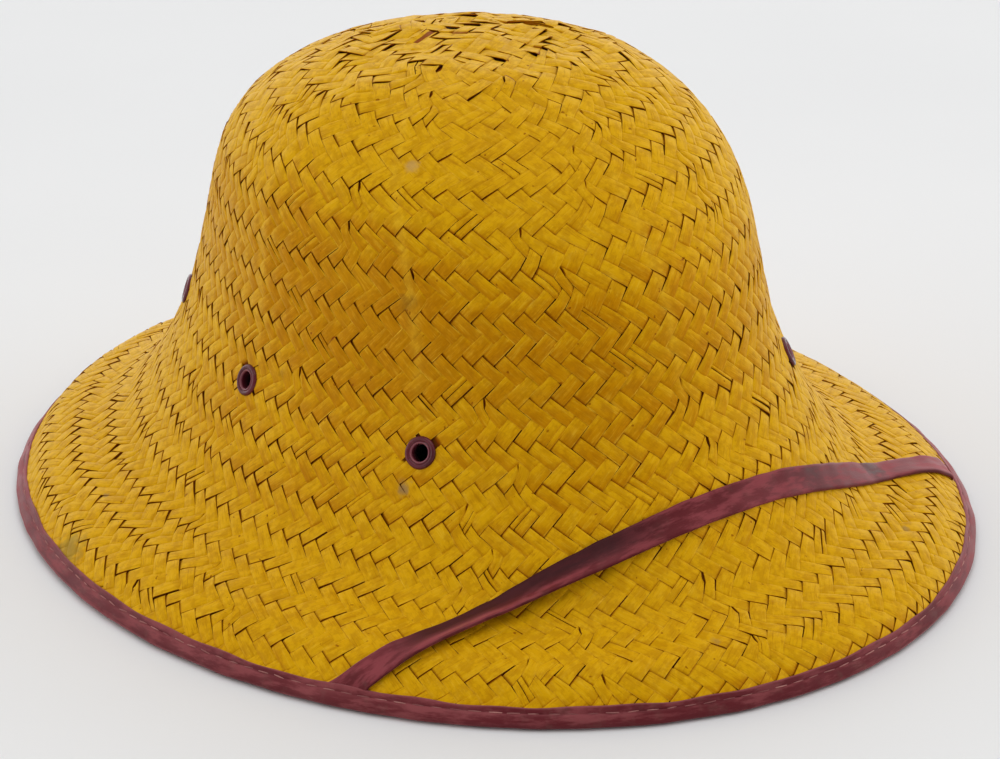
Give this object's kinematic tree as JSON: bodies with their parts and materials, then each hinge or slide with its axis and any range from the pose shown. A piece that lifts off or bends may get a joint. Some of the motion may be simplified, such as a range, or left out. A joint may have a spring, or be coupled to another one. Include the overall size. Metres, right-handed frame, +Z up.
{
  "type": "pith helmet",
  "caption": "Sun helmet of painted woven straw with a domed crown, a sloping brim bound in maroon tape, a maroon strap over the front brim and painted vent eyelets.",
  "frame": {"origin": "centre of the hat's bounding box, at its lowest plane, where the bound rim rests", "axes": "+Z up through the crown, -Y towards the front of the hat, +X towards the wearer's left"},
  "size_m": [0.272, 0.3264, 0.1424],
  "materials": {
    "straw": "flat woven straw under worn mustard paint",
    "tape": "coated maroon cloth tape, satin",
    "strap": "coated maroon cloth band, satin",
    "eyelet": "maroon paint, worn on the lip"
  },
  "bodies": {
    "root": {"straw_shell": "straw", "edge_binding": "tape", "brim_strap": "strap", "eyelet_front_right": "eyelet", "eyelet_side_right": "eyelet", "eyelet_rear_right": "eyelet", "eyelet_front_left": "eyelet", "eyelet_side_left": "eyelet", "eyelet_rear_left": "eyelet"}
  },
  "joints": []
}
